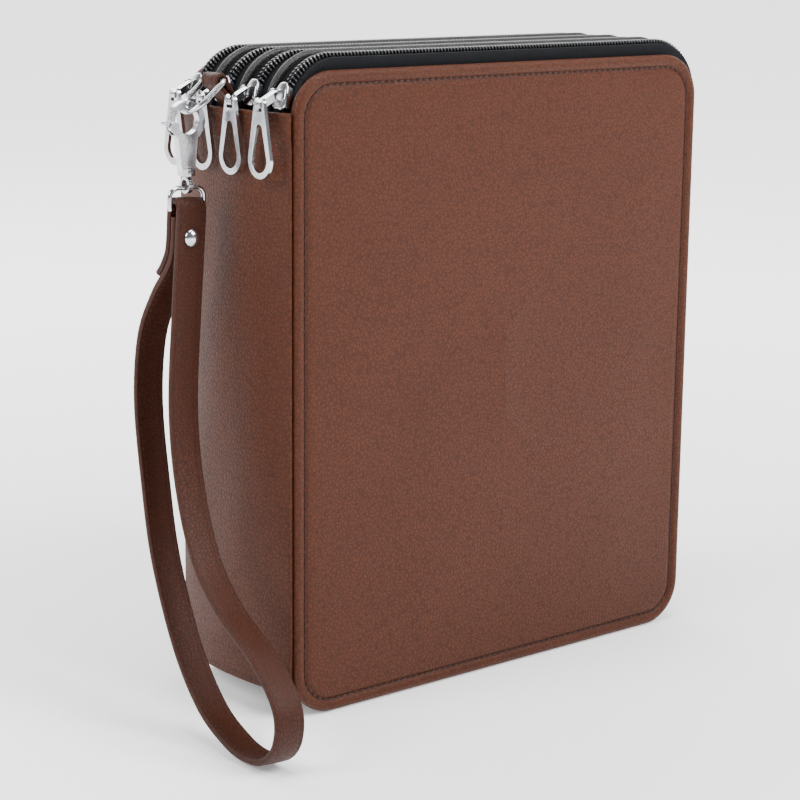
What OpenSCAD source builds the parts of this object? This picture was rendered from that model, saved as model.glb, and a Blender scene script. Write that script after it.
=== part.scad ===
// Leather book case that closes with four zips, with a clip-on wrist strap.
// X runs from the spine to the opening edge, Y from the front cover to the back cover, Z is up.
// The origin is on the floor, under the middle leaf.

/* [Case] */
// Width of the covers
case_w = 200; // [165:1:245]
// Height of the covers
case_h = 235; // [190:1:290]
// Depth over both closed covers
case_d = 70; // [58:1:90]
// Radius of the covers' corners
corner_r = 17; // [13:1:22]

/* [Covers] */
// Thickness of the outer leather
leather_t = 1.2; // [0.8:0.1:1.6]
// Thickness of the board inside a cover
board_t = 2.2; // [1.5:0.1:3]
// Thickness of the lining
lining_t = 0.8; // [0.5:0.1:1.2]
// Distance from a cover's edge to its stitching
stitch_inset = 4.4; // [3.5:0.1:6]
// Width of the stitched groove
stitch_w = 0.8; // [0.6:0.1:1.2]
// Depth of the stitched groove
stitch_depth = 0.5; // [0.3:0.1:0.7]

/* [Spine] */
// Thickness of the spine leather
spine_t = 1.8; // [1.2:0.1:2.2]
// How far the spine bulges outward
spine_bulge = 4.5; // [3:0.5:7]
// From the covers' top down to the spine's top hem
hem_top = 14; // [12:1:18]
// From the covers' bottom up to the spine's bottom hem
hem_bottom = 10; // [8:1:14]

/* [Leaves] */
// Thickness of a leaf
leaf_t = 2.4; // [1.8:0.1:3]
// Width of the piping on a leaf's edge
piping_w = 2.8; // [2.6:0.1:4]
// Height of an elastic band
elastic_h = 24; // [16:1:34]
// Thickness of an elastic band
elastic_t = 1; // [0.6:0.1:1.6]

/* [Zips] */
// Height of the closed chain above the covers' top
zip_rise = 4.5; // [3.5:0.5:6]
// How far the chain stands past the opening edge
zip_reach = 3; // [2:0.5:5]
// Radius of the chain's corners
zip_r = 20; // [18:1:22]
// Thickness of the zip tape
tape_t = 0.8; // [0.5:0.1:1]
// Height of the teeth
tooth_t = 1.8; // [1.4:0.1:2]
// Width of one row of teeth
tooth_w = 2; // [1.6:0.1:2.2]
// Gap between the two rows of teeth
tooth_gap = 1.2; // [1:0.1:1.6]

/* [Sliders] */
// Width of a slider
slider_w = 7.2; // [6.6:0.1:7.6]
// Thickness of its two plates
plate_t = 1.2; // [0.9:0.1:1.4]
// Length of a slider, as an angle of the chain's corner
slider_arc = 26; // [20:1:28]
// Place of a closed slider, as an angle from the top of the corner
slider_place = 72; // [68:1:74]
// Clearance between a slider and the chain
slider_gap = 0.3; // [0.2:0.05:0.4]

/* [Pulls] */
// Distance between the two pins of a link
link_len = 7.5; // [7:0.5:9]
// Width of a link
link_w = 2.8; // [2.2:0.1:3]
// Slope of a link that lies on the hem
link_slope = 27; // [20:1:32]
// Radius of the hinge pins
pin_r = 0.6; // [0.5:0.05:0.7]
// Clearance between a pin and its bore
pin_gap = 0.08; // [0.04:0.01:0.1]
// Width of a pull
pull_w = 13; // [10:0.5:13]
// Length of a pull below its pin
pull_len = 25.6; // [20:0.5:30]
// Thickness of a pull
pull_t = 1.4; // [1:0.1:1.6]

/* [Strap hardware] */
// Radius of the wire of the tab's ring
ring_wire_r = 1; // [0.8:0.1:1.1]
// Length of the tab's ring
tab_ring_len = 16; // [12:0.2:20]
// Angle at which the tab's ring leans out
tab_ring_lean = 50; // [26:1:56]
// Inner radius of the snap hook
hook_in_r = 4.6; // [4.4:0.1:5]
// Outer radius of the snap hook
hook_out_r = 7.2; // [6.8:0.1:7.4]
// Thickness of the snap hook
hook_t = 3; // [2.4:0.1:3.2]
// Length of the hook's body below its ring
hook_body = 12; // [10:1:16]
// Wire radius of the strap's ring
strap_ring_r = 0.85; // [0.7:0.05:1]

/* [Strap] */
// Width of the strap
strap_w = 12; // [10:0.5:12]
// Thickness of the strap
strap_t = 2.4; // [1.8:0.1:2.6]
// Angle at which the strap leans away from the case
strap_lean = 4; // [3:0.5:8]

/* [Hidden] */
$fn = 72;
cover_t = leather_t + board_t + lining_t;
half_w = case_w / 2;
half_d = case_d / 2;
fit_gap = 0.3;
edge_radius_gap = 0.2;

// Zips and leaves across the depth
slider_side_gap = 0.95;
first_zip = cover_t + slider_w / 2 + slider_side_gap;
zip_pitch = (case_d - 2 * first_zip) / 3;
zip_y = [for (k = [0:3]) -half_d + first_zip + k * zip_pitch];
leaf_y = [for (k = [0:2]) (zip_y[k] + zip_y[k + 1]) / 2];
tape_edge = tooth_gap / 2 + 0.3;
tooth_near = tooth_gap / 2;
tooth_far = tooth_near + tooth_w;

// Path of the closed chain, as a rounded rectangle seen from the front
spine_clear = 1.5;
piping_out = 1.8;
chain_x0 = -half_w + spine_clear;
chain_x1 = half_w + zip_reach;
chain_z0 = piping_out;
chain_z1 = case_h + zip_rise;
tape_out = -0.3;
tape_in = tape_out - tape_t;
tooth_out = tape_out + tooth_t;
flange_in = -12;
flange_t = 0.6;
flange_y = half_d - cover_t;
hem_z1 = case_h - hem_top;
hem_z0 = hem_bottom;
stub_hidden = 6;
corner_cut = 50;
turn_x = chain_x0 + zip_r;
turn_z = chain_z1 - zip_r;

// Spine section: an arc from one cover's edge to the other's
spine_half = half_d - 1;
spine_r = (pow(spine_half, 2) + pow(spine_bulge, 2)) / (2 * spine_bulge);
spine_crest = -half_w - spine_t - spine_bulge;
spine_x0 = spine_crest + spine_r;
function spine_out(y) = spine_x0 - sqrt(pow(spine_r, 2) - pow(y, 2));
tongue_top = hem_z1 - 13;
tongue_bottom = hem_z0 + stub_hidden + 0.5;

// Slider, link and pull, seen from the front
top_plate_in = zip_r + tooth_out + slider_gap;
top_plate_out = top_plate_in + plate_t;
low_plate_out = zip_r + tape_in - slider_gap;
low_plate_in = low_plate_out - plate_t;
flange_w = 0.7;
post_w = tooth_gap - 0.3;
link_r = 1.35;
crown_r = top_plate_out + link_r + fit_gap;
cheek_t = 0.8;
cheek_in = link_w / 2 + fit_gap;
link_top = [turn_x - crown_r * sin(slider_place), turn_z + crown_r * cos(slider_place)];
link_low = link_top + link_len * [-cos(link_slope), -sin(link_slope)];
neck_r = cheek_in + 1.2;
bowl_r = pull_w / 2;

// Tab, its ring, the hook and the strap
tab_gap = 0.55;
tab_w = zip_pitch - slider_w - 2 * tab_gap;
tab_layer = 1.6;
tab_root = [spine_crest + spine_t + fit_gap + tab_layer, hem_z1 + 1];
tab_bar = [spine_crest - 3.2, hem_z1 + 9.5];
tab_loop_r = ring_wire_r + fit_gap + 1.8;
tab_stem = 11;
ring_half = tab_w / 2 + fit_gap + ring_wire_r;
hook_x = tab_bar[0] - tab_ring_len * sin(tab_ring_lean);
hook_pin_z = tab_bar[1] - tab_ring_len * cos(tab_ring_lean);
hook_z = hook_pin_z + ring_wire_r + fit_gap - hook_in_r;
hook_mid_r = (hook_in_r + hook_out_r) / 2;
hook_low = hook_z - hook_out_r - hook_body;
gate_from = 120;
gate_to = 200;
gate_reach = 5.8;
gate_gap = 0.2;
gate_w = 1.8;
gate_t = 2;
gate_pin = [hook_x + hook_mid_r * cos(gate_to), hook_z + hook_mid_r * sin(gate_to)];
swivel_pin_r = 1.1;
swivel_gap = 0.06;
eye_in_r = 1.9;
eye_out_r = 3;
eye_w = 1.8;
eye_z = hook_low - fit_gap - eye_out_r;
strap_pin_z = eye_z - eye_in_r + strap_ring_r + 0.15;
strap_ring_h = 7.4;
strap_ring_half = strap_w / 2 + fit_gap + strap_ring_r;
strap_ring_corner = 3.4;
strap_bar_z = strap_pin_z - strap_ring_h;
layer_y = strap_t + 0.5;
rivet_drop = 10;
rivet_r = 1.5;
rivet_head_r = 3.3;

// Route of the strap's middle line, as [y, height below the strap's bar]
strap_route = [
    [0, -3], [0, -14], [2.5, -21], [11, -32], [18.5, -48], [19, -72], [12, -101], [3, -128],
    [-13, -156], [-30, -174], [-46, -182], [-58, -184.2], [-69, -182], [-75.5, -174],
    [-74, -162], [-60, -149], [-38, -137], [-22, -122], [-10, -98], [-3.5, -70], [-2.8, -35],
    [-layer_y, -10], [-layer_y, -2]
];
strap_steps = 4;
tail_route = [[layer_y, -2], [layer_y, -14], [layer_y + 2.4, -20], [layer_y + 5.5, -24]];

// ---- Outlines in the X-Z plane ----

module rounded(x0, x1, z0, z1, r) {
    translate([x0 + r, z0]) square([x1 - x0 - 2 * r, z1 - z0]);
    translate([x0, z0 + r]) square([x1 - x0, z1 - z0 - 2 * r]);
    for (x = [x0 + r, x1 - r], z = [z0 + r, z1 - r])
        translate([x, z]) circle(r = r);
}

module cover_outline(inset) {
    rounded(-half_w + inset, half_w - inset, inset, case_h - inset, corner_r - inset);
}

module chain_outline(grow) {
    rounded(chain_x0 - grow, chain_x1 + grow, chain_z0 - grow, chain_z1 + grow, zip_r + grow);
}

// The stretch of the chain's path that the spine leather closes
module spine_side() {
    z0 = hem_z0 + stub_hidden;
    z1 = hem_z1 - stub_hidden;
    translate([chain_x0 - 20, z0]) square([24, z1 - z0]);
}

// The top corner at the spine, where fabric bends when a compartment opens
module corner_wedge() {
    reach = 3 * zip_r;
    translate([turn_x, turn_z])
        polygon([[0, 0], reach * [-sin(corner_cut), cos(corner_cut)], [-reach, reach], [-reach, -reach], [0, -reach / 2]]);
}

module chain_band(from, to) {
    difference() {
        chain_outline(to);
        chain_outline(from);
        spine_side();
    }
}

module fixed_band(from, to) {
    difference() {
        chain_band(from, to);
        corner_wedge();
    }
}

module corner_band(from, to) {
    intersection() {
        chain_band(from, to);
        corner_wedge();
    }
}

// Stands an X-Z outline up between two depths
module across(y0, y1) {
    translate([0, max(y0, y1), 0])
        rotate([90, 0, 0]) linear_extrude(abs(y1 - y0)) children();
}

// A bar with two round ends of different radius, between two points
module tapered(a, ra, b, rb) {
    d = norm(b - a);
    turn = atan2(b[1] - a[1], b[0] - a[0]);
    open = acos((ra - rb) / d);
    translate(a) rotate(turn) {
        circle(r = ra);
        translate([d, 0]) circle(r = rb);
        polygon([
            ra * [cos(open), sin(open)], ra * [cos(open), -sin(open)],
            [d, 0] + rb * [cos(open), -sin(open)], [d, 0] + rb * [cos(open), sin(open)]
        ]);
    }
}

// ---- Covers, side is -1 for the front and 1 for the back ----

module cover_slab(side, from, to) {
    across(side * (half_d - from), side * (half_d - to)) children();
}

module stitch_ring(inset) {
    difference() {
        cover_outline(stitch_inset + inset);
        cover_outline(stitch_inset + stitch_w - inset);
    }
}

module cover_leather(side) {
    color("#7a4c31") difference() {
        cover_slab(side, 0, cover_t) cover_outline(0);
        cover_slab(side, leather_t, cover_t + 1) cover_outline(leather_t);
        cover_slab(side, -1, stitch_depth) stitch_ring(0);
    }
}

module cover_board(side) {
    color("#8d8473") cover_slab(side, leather_t, leather_t + board_t)
        cover_outline(leather_t + edge_radius_gap);
}

module cover_lining(side) {
    color("#232428") cover_slab(side, leather_t + board_t, cover_t)
        cover_outline(leather_t + edge_radius_gap);
}

module cover_stitching(side) {
    color("#4a2119") cover_slab(side, 0.05, stitch_depth) stitch_ring(0.05);
}

module cover_tape(side) {
    zip = side < 0 ? zip_y[0] : zip_y[3];
    color("#1d1f24") {
        across(side * flange_y, side * (flange_y - flange_t)) fixed_band(flange_in, tape_out);
        across(side * (flange_y - flange_t), zip + side * tape_edge) fixed_band(tape_in, tape_out);
    }
}

module teeth(zip, side, moving) {
    across(zip + side * tooth_near, zip + side * tooth_far)
        if (moving) fixed_band(tape_out, tooth_out);
        else chain_band(tape_out, tooth_out);
}

// ---- Spine leather, cut where the leaves beside the middle one fold ----

module spine_section(y0, y1) {
    intersection() {
        difference() {
            translate([spine_x0, 0]) circle(r = spine_r, $fn = 180);
            translate([spine_x0, 0]) circle(r = spine_r - spine_t, $fn = 180);
        }
        translate([spine_crest - 1, y0]) square([spine_bulge + spine_t + 3, y1 - y0]);
    }
}

module spine_leather(y0, y1) {
    color("#7a4c31") difference() {
        translate([0, 0, hem_z0]) linear_extrude(hem_z1 - hem_z0) spine_section(y0, y1);
        for (y = [-half_d - 1, half_d - cover_t])
            translate([-half_w - fit_gap, y, 0]) cube([20, cover_t + 1, case_h]);
    }
}

// ---- Leaves, k is 0 for the leaf behind the front cover ----

module leaf_slab(k, from, to) {
    across(leaf_y[k] + from, leaf_y[k] + to) children();
}

module leaf_panel(k) {
    tongue_x = spine_out(leaf_y[k]) + spine_t + fit_gap + 0.2;
    color("#26282d") leaf_slab(k, -leaf_t / 2, leaf_t / 2) {
        chain_outline(tape_in - 0.1);
        translate([tongue_x, tongue_bottom]) square([chain_x0 - tongue_x + 4, tongue_top - tongue_bottom]);
    }
}

module leaf_piping(k) {
    color("#141518") leaf_slab(k, -piping_w / 2, piping_w / 2) chain_band(tape_in - 0.1, piping_out);
}

module leaf_elastic(k) {
    inset = 16;
    width = chain_x1 - chain_x0 - 2 * inset;
    color("#101114") for (z = [0.28, 0.66] * case_h)
        leaf_slab(k, -leaf_t / 2 - elastic_t, -leaf_t / 2)
            translate([chain_x0 + inset, z]) square([width, elastic_h]);
}

module leaf_tapes(k) {
    color("#1d1f24") {
        across(zip_y[k] + tape_edge, leaf_y[k] - piping_w / 2)
            if (k == 2) fixed_band(tape_in, tape_out);
            else chain_band(tape_in, tape_out);
        across(leaf_y[k] + piping_w / 2, zip_y[k + 1] - tape_edge)
            if (k == 0) fixed_band(tape_in, tape_out);
            else chain_band(tape_in, tape_out);
    }
}

module leaf_teeth(k) {
    color("#0c0d0f") {
        teeth(zip_y[k], 1, k == 2);
        teeth(zip_y[k + 1], -1, k == 0);
    }
}

// ---- Bending corners, n is the zip's number ----

module corner(n) {
    side = n < 2 ? -1 : 1;
    zip = zip_y[n];
    edge = n == 0 || n == 3 ? side * (flange_y - flange_t) : leaf_y[n == 1 ? 0 : 2] - side * piping_w / 2;
    color("#1d1f24") {
        across(edge, zip + side * tape_edge) corner_band(tape_in, tape_out);
        across(zip + side * tooth_near, zip + side * tooth_far) corner_band(tape_out, tooth_out);
    }
}

// ---- Sliders, links and pulls ----

// A ring sector round the chain's corner: radii, depths, and angles from the slider's middle
module sector(r0, r1, y0, y1, a0, a1) {
    translate([turn_x, 0, turn_z]) rotate([90, 0, 0]) rotate(90 + slider_place + a0)
        rotate_extrude(angle = a1 - a0) translate([r0, -y1]) square([r1 - r0, y1 - y0]);
}

module slider(zip) {
    half = slider_w / 2;
    arc = slider_arc / 2;
    crown_arc = 5;
    post_arc = 4;
    fuse = 0.4;
    color("#c9ccd0") {
        sector(top_plate_in, top_plate_out, zip - half, zip + half, -arc, arc);
        sector(low_plate_in, low_plate_out, zip - half, zip + half, -arc, arc);
        sector(low_plate_out - fuse, top_plate_in + fuse, zip - post_w / 2, zip + post_w / 2, -arc + fuse, -arc + post_arc);
        for (side = [-1, 1]) {
            wall = zip + side * (half - flange_w / 2);
            cheek = zip + side * (cheek_in + cheek_t / 2);
            sector(zip_r + tape_out + slider_gap / 2, top_plate_in + fuse, wall - flange_w / 2, wall + flange_w / 2, -arc, arc);
            sector(top_plate_out - fuse, crown_r + 1.1, cheek - cheek_t / 2, cheek + cheek_t / 2, -crown_arc, crown_arc);
        }
        translate([link_top[0], zip + cheek_in + 0.4, link_top[1]])
            rotate([90, 0, 0]) cylinder(r = pin_r, h = 2 * cheek_in + 0.8);
    }
}

module link(zip) {
    bore_r = pin_r + pin_gap;
    color("#c9ccd0") across(zip - link_w / 2, zip + link_w / 2) difference() {
        tapered(link_top, link_r, link_low, link_r);
        translate(link_top) circle(r = bore_r);
        translate(link_low) circle(r = bore_r);
    }
}

// The pull's face, with its pin at the origin
module pull_face() {
    bowl_z = -pull_len + bowl_r;
    window_z = -8.5;
    window_r = 1.8;
    rim = 2.2;
    notch = link_r + 0.9;
    difference() {
        tapered([0, 0], neck_r, [0, bowl_z], bowl_r);
        tapered([0, window_z], window_r, [0, bowl_z], bowl_r - rim);
        translate([-cheek_in, -notch]) square([2 * cheek_in, neck_r + notch + 1]);
    }
}

module pull(zip) {
    color("#d3d6da") translate([link_low[0], zip, link_low[1]]) {
        translate([-pull_t / 2, 0, 0]) rotate([90, 0, 90]) linear_extrude(pull_t) pull_face();
        translate([0, cheek_in + 0.4, 0]) rotate([90, 0, 0]) cylinder(r = pin_r, h = 2 * cheek_in + 0.8);
    }
}

// ---- Tab, snap hook and strap ----

module strap_tab() {
    stem_x = tab_root[0];
    color("#7a4c31") across(-tab_w / 2, tab_w / 2) difference() {
        union() {
            tapered(tab_root, tab_layer, tab_bar, tab_loop_r);
            translate([stem_x - tab_layer, tab_root[1] - tab_stem]) square([2 * tab_layer, tab_stem]);
        }
        translate(tab_bar) circle(r = ring_wire_r + fit_gap);
    }
}

module tab_ring() {
    leg = tab_ring_len - ring_half;
    color("#c9ccd0") translate([tab_bar[0], 0, tab_bar[1]]) rotate([0, tab_ring_lean, 0]) {
        translate([0, ring_half, 0]) rotate([90, 0, 0]) cylinder(r = ring_wire_r, h = 2 * ring_half);
        for (side = [-1, 1]) {
            translate([0, side * ring_half, 0]) sphere(r = ring_wire_r);
            translate([0, side * ring_half, -leg]) cylinder(r = ring_wire_r, h = leg);
        }
        translate([0, 0, -leg]) rotate([0, 90, 0]) rotate(-90)
            rotate_extrude(angle = 180) translate([ring_half, 0]) circle(r = ring_wire_r);
    }
}

module ring_sector(in_r, out_r, a0, a1) {
    reach = 2 * out_r;
    mid = (a0 + a1) / 2;
    intersection() {
        difference() {
            circle(r = out_r);
            circle(r = in_r);
        }
        polygon([[0, 0], reach * [cos(a0), sin(a0)], 1.5 * reach * [cos(mid), sin(mid)], reach * [cos(a1), sin(a1)]]);
    }
}

module hook_profile() {
    top_w = 8.5;
    low_w = 5.4;
    shoulder = 5;
    difference() {
        union() {
            circle(r = hook_out_r);
            polygon([
                [-top_w / 2, -shoulder], [top_w / 2, -shoulder],
                [low_w / 2, hook_low - hook_z], [-low_w / 2, hook_low - hook_z]
            ]);
        }
        circle(r = hook_in_r);
        intersection() {
            ring_sector(hook_in_r - 1, hook_out_r + 1, gate_from, gate_to + 22);
            translate(gate_pin - [hook_x, hook_z]) circle(r = gate_reach + gate_gap);
        }
    }
}

module snap_hook() {
    ear_r = 1.9;
    collar = 2.5;
    color("#c9ccd0") difference() {
        union() {
            translate([hook_x, 0, hook_z]) across(-hook_t / 2, hook_t / 2) hook_profile();
            translate([hook_x, 0, hook_low]) cylinder(r = 2.9, h = collar);
            for (side = [-1, 1])
                across(side * (gate_t / 2 + 0.15), side * hook_t / 2) {
                    translate(gate_pin) circle(r = ear_r);
                    translate([hook_x, hook_z]) ring_sector(hook_in_r, hook_out_r, gate_to - 4, gate_to + 26);
                }
        }
        translate([hook_x, 0, hook_low - 1]) cylinder(r = swivel_pin_r, h = 8);
        translate([gate_pin[0], 5, gate_pin[1]]) rotate([90, 0, 0]) cylinder(r = pin_r, h = 10);
    }
}

module hook_gate() {
    color("#c9ccd0") across(-gate_t / 2, gate_t / 2) difference() {
        union() {
            intersection() {
                translate([hook_x, hook_z])
                    ring_sector(hook_mid_r - gate_w / 2, hook_mid_r + gate_w / 2, gate_from, gate_to);
                translate(gate_pin) circle(r = gate_reach);
            }
            translate(gate_pin) circle(r = 1.5);
            tapered(gate_pin + [-0.6, 0.6], 0.9, gate_pin + [-3.4, 1.6], 0.8);
        }
        translate(gate_pin) circle(r = pin_r + pin_gap);
    }
}

module gate_pin() {
    color("#b9bcc0") translate([gate_pin[0], hook_t / 2, gate_pin[1]])
        rotate([90, 0, 0]) cylinder(r = pin_r, h = hook_t);
}

module swivel_eye() {
    color("#c9ccd0") difference() {
        union() {
            translate([hook_x - eye_w / 2, 0, eye_z]) rotate([0, 90, 0]) cylinder(r = eye_out_r, h = eye_w);
            translate([hook_x, 0, eye_z + eye_in_r + 0.5])
                cylinder(r = swivel_pin_r - swivel_gap, h = eye_out_r - eye_in_r + 6);
        }
        translate([hook_x - 2, 0, eye_z]) rotate([0, 90, 0]) cylinder(r = eye_in_r, h = 4);
    }
}

module strap_ring() {
    c = strap_ring_corner;
    leg = strap_ring_h - c;
    flat = 2 * (strap_ring_half - c);
    color("#c9ccd0") translate([hook_x, 0, strap_bar_z]) {
        translate([-strap_ring_half, 0, 0]) rotate([0, 90, 0]) cylinder(r = strap_ring_r, h = 2 * strap_ring_half);
        translate([-flat / 2, 0, strap_ring_h]) rotate([0, 90, 0]) cylinder(r = strap_ring_r, h = flat);
        for (side = [-1, 1]) {
            translate([side * strap_ring_half, 0, 0]) sphere(r = strap_ring_r);
            translate([side * strap_ring_half, 0, 0]) cylinder(r = strap_ring_r, h = leg);
            translate([side * flat / 2, 0, leg]) rotate([90, 0, 0]) rotate(side > 0 ? 0 : 90)
                rotate_extrude(angle = 90) translate([c, 0]) circle(r = strap_ring_r);
        }
    }
}

// Catmull-Rom curve through a list of points
function curve_point(p, k, t) =
    let (a = p[max(k - 1, 0)], b = p[k], c = p[k + 1], d = p[min(k + 2, len(p) - 1)])
    0.5 * (2 * b + (c - a) * t + (2 * a - 5 * b + 4 * c - d) * t * t + (3 * b - a - 3 * c + d) * t * t * t);
function curve(p, steps) = [
    for (k = [0:len(p) - 2], s = [0:steps - 1]) curve_point(p, k, s / steps),
    p[len(p) - 1]
];
function normal_at(c, k) =
    let (d = c[min(k + 1, len(c) - 1)] - c[max(k - 1, 0)])
    [-d[1], d[0]] / norm(d);
function ribbon(c, t) = concat(
    [for (k = [0:len(c) - 1]) c[k] + t / 2 * normal_at(c, k)],
    [for (k = [len(c) - 1:-1:0]) c[k] - t / 2 * normal_at(c, k)]
);

// The strap seen along X: a loop whose two ends are riveted under the fold round the ring's bar
module strap_side() {
    fold = [for (a = [180:-15:0]) layer_y * [cos(a), sin(a)]];
    polygon(ribbon(concat(curve(strap_route, strap_steps), fold, curve(tail_route, 3)), strap_t));
}

module on_bar() {
    translate([hook_x, 0, strap_bar_z]) rotate([0, strap_lean, 0]) children();
}

module strap() {
    color("#74452b") on_bar() difference() {
        translate([-strap_w / 2, 0, 0]) rotate([90, 0, 90]) linear_extrude(strap_w) strap_side();
        translate([0, 10, -rivet_drop]) rotate([90, 0, 0]) cylinder(r = rivet_r + 0.05, h = 20);
    }
}

module strap_rivet() {
    stack = 1.5 * layer_y + 0.1;
    head_t = 1.1;
    color("#d3d6da") on_bar() translate([0, 0, -rivet_drop]) rotate([90, 0, 0]) {
        translate([0, 0, -stack]) cylinder(r = rivet_r, h = 2 * stack);
        translate([0, 0, -stack - head_t]) cylinder(r = rivet_head_r, h = head_t);
        translate([0, 0, stack]) intersection() {
            cylinder(r = rivet_head_r, h = 2);
            translate([0, 0, -2.4]) sphere(r = 4.1);
        }
    }
}

cover_leather(-1);  // front_cover_leather
cover_board(-1);  // front_cover_board
cover_lining(-1);  // front_cover_lining
cover_stitching(-1);  // front_cover_stitching
cover_tape(-1);  // front_zip_tape
color("#0c0d0f") teeth(zip_y[0], -1, true);  // front_zip_teeth
spine_leather(-spine_half, zip_y[1] - fit_gap / 2);  // spine_front
spine_leather(zip_y[1] + fit_gap / 2, zip_y[2] - fit_gap / 2);  // spine_middle
spine_leather(zip_y[2] + fit_gap / 2, spine_half);  // spine_back
leaf_panel(0);  // leaf_1_panel
leaf_piping(0);  // leaf_1_piping
leaf_elastic(0);  // leaf_1_elastic
leaf_tapes(0);  // leaf_1_tapes
leaf_teeth(0);  // leaf_1_teeth
leaf_panel(1);  // leaf_2_panel
leaf_piping(1);  // leaf_2_piping
leaf_elastic(1);  // leaf_2_elastic
leaf_tapes(1);  // leaf_2_tapes
leaf_teeth(1);  // leaf_2_teeth
leaf_panel(2);  // leaf_3_panel
leaf_piping(2);  // leaf_3_piping
leaf_elastic(2);  // leaf_3_elastic
leaf_tapes(2);  // leaf_3_tapes
leaf_teeth(2);  // leaf_3_teeth
cover_leather(1);  // back_cover_leather
cover_board(1);  // back_cover_board
cover_lining(1);  // back_cover_lining
cover_stitching(1);  // back_cover_stitching
cover_tape(1);  // back_zip_tape
color("#0c0d0f") teeth(zip_y[3], 1, true);  // back_zip_teeth
corner(0);  // corner_1
corner(1);  // corner_2
corner(2);  // corner_3
corner(3);  // corner_4
slider(zip_y[0]);  // slider_1
slider(zip_y[1]);  // slider_2
slider(zip_y[2]);  // slider_3
slider(zip_y[3]);  // slider_4
link(zip_y[0]);  // link_1
link(zip_y[1]);  // link_2
link(zip_y[2]);  // link_3
link(zip_y[3]);  // link_4
pull(zip_y[0]);  // pull_1
pull(zip_y[1]);  // pull_2
pull(zip_y[2]);  // pull_3
pull(zip_y[3]);  // pull_4
strap_tab();
tab_ring();
snap_hook();
hook_gate();
gate_pin();
swivel_eye();
strap_ring();
strap();
strap_rivet();
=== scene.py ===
"""A brown book case with four zips and a wrist strap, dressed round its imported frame. Lengths are metres."""
import math

import bmesh
import bpy
import numpy as np
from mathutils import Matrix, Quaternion, Vector


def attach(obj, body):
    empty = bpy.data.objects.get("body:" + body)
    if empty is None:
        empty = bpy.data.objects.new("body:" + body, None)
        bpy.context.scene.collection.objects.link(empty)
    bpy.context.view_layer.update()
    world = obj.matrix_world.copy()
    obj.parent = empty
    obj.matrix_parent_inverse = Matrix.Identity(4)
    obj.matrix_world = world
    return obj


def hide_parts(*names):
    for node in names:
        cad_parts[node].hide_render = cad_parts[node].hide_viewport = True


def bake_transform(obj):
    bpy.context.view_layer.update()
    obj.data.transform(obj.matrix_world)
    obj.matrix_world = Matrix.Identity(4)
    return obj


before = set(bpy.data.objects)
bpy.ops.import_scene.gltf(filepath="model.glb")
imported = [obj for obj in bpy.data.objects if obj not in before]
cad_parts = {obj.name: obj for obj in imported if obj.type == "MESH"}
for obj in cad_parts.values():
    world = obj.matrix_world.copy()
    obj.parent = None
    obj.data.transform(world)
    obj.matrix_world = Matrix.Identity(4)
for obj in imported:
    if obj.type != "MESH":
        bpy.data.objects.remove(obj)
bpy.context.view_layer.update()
MM = 0.001

# ---- Table top, lights and camera ----
# A pale table top that curves up behind the case, three large soft lamps and a long lens.


class Wire:
    """A value on its way through a finish: arithmetic on it adds the Math node that works it out."""

    def __init__(self, finish, socket):
        self.finish, self.socket = finish, socket

    def math(self, operation, *values):
        return self.finish.node("ShaderNodeMath", {"operation": operation}, dict(enumerate(values)))

    def __add__(self, other):
        return self.math("ADD", self, other)

    def __sub__(self, other):
        return self.math("SUBTRACT", self, other)

    def __rsub__(self, other):
        return self.math("SUBTRACT", other, self)

    def __mul__(self, other):
        return self.math("MULTIPLY", self, other)

    def __truediv__(self, other):
        return self.math("DIVIDE", self, other)

    def __rtruediv__(self, other):
        return self.math("DIVIDE", other, self)

    def __pow__(self, other):
        return self.math("POWER", self, other)

    __radd__ = __add__
    __rmul__ = __mul__

    def held(self):
        """The value kept between 0 and 1."""
        return self.finish.node("ShaderNodeClamp", {}, {0: self})

    def wave(self):
        """A smooth wave from 0 to 1, one for each whole number of the value."""
        return self.math("SINE", self * (2 * math.pi)) * 0.5 + 0.5


class Finish:
    """One material, with the settings that are the same all over it given by socket name."""

    def __init__(self, name, **settings):
        self.material = bpy.data.materials.new(name)
        self.material.use_nodes = True
        self.tree = self.material.node_tree
        self.shader = next(n for n in self.tree.nodes if n.type == "BSDF_PRINCIPLED")
        self.give(**settings)

    def feed(self, socket, value):
        if isinstance(value, Wire):
            self.tree.links.new(value.socket, socket)
        else:
            socket.default_value = value

    def give(self, **values):
        for name, value in values.items():
            self.feed(self.shader.inputs[name.replace("_", " ")], value)

    def node(self, kind, settings=None, inputs=None, output=0):
        made = self.tree.nodes.new(kind)
        for key, value in (settings or {}).items():
            setattr(made, key, value)
        for key, value in (inputs or {}).items():
            self.feed(made.inputs[key], value)
        return Wire(self, made.outputs[output])

    def place(self):
        return self.node("ShaderNodeTexCoord", output="Object")

    def laid(self, name="laid"):
        """Where a point was on the flat material, in metres."""
        return self.node("ShaderNodeAttribute", {"attribute_name": name}, output="Vector")

    def parts(self, vector):
        made = self.node("ShaderNodeSeparateXYZ", {}, {0: vector}).socket.node
        return [Wire(self, made.outputs[k]) for k in range(3)]

    def noise(self, vector, scale, detail=2.0, output="Fac"):
        return self.node("ShaderNodeTexNoise", {}, {"Vector": vector, "Scale": scale, "Detail": detail}, output)

    def stretched(self, vector, stretch):
        return self.node("ShaderNodeVectorMath", {"operation": "MULTIPLY"}, {0: vector, 1: stretch})

    def mixed(self, share, first, second):
        return self.node("ShaderNodeMix", {"data_type": "RGBA"}, {0: share, 6: first, 7: second}, 2)

    def bumped(self, height, depth, strength=1.0):
        self.give(Normal=self.node("ShaderNodeBump", {}, {"Height": height, "Distance": depth, "Strength": strength}))


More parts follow.
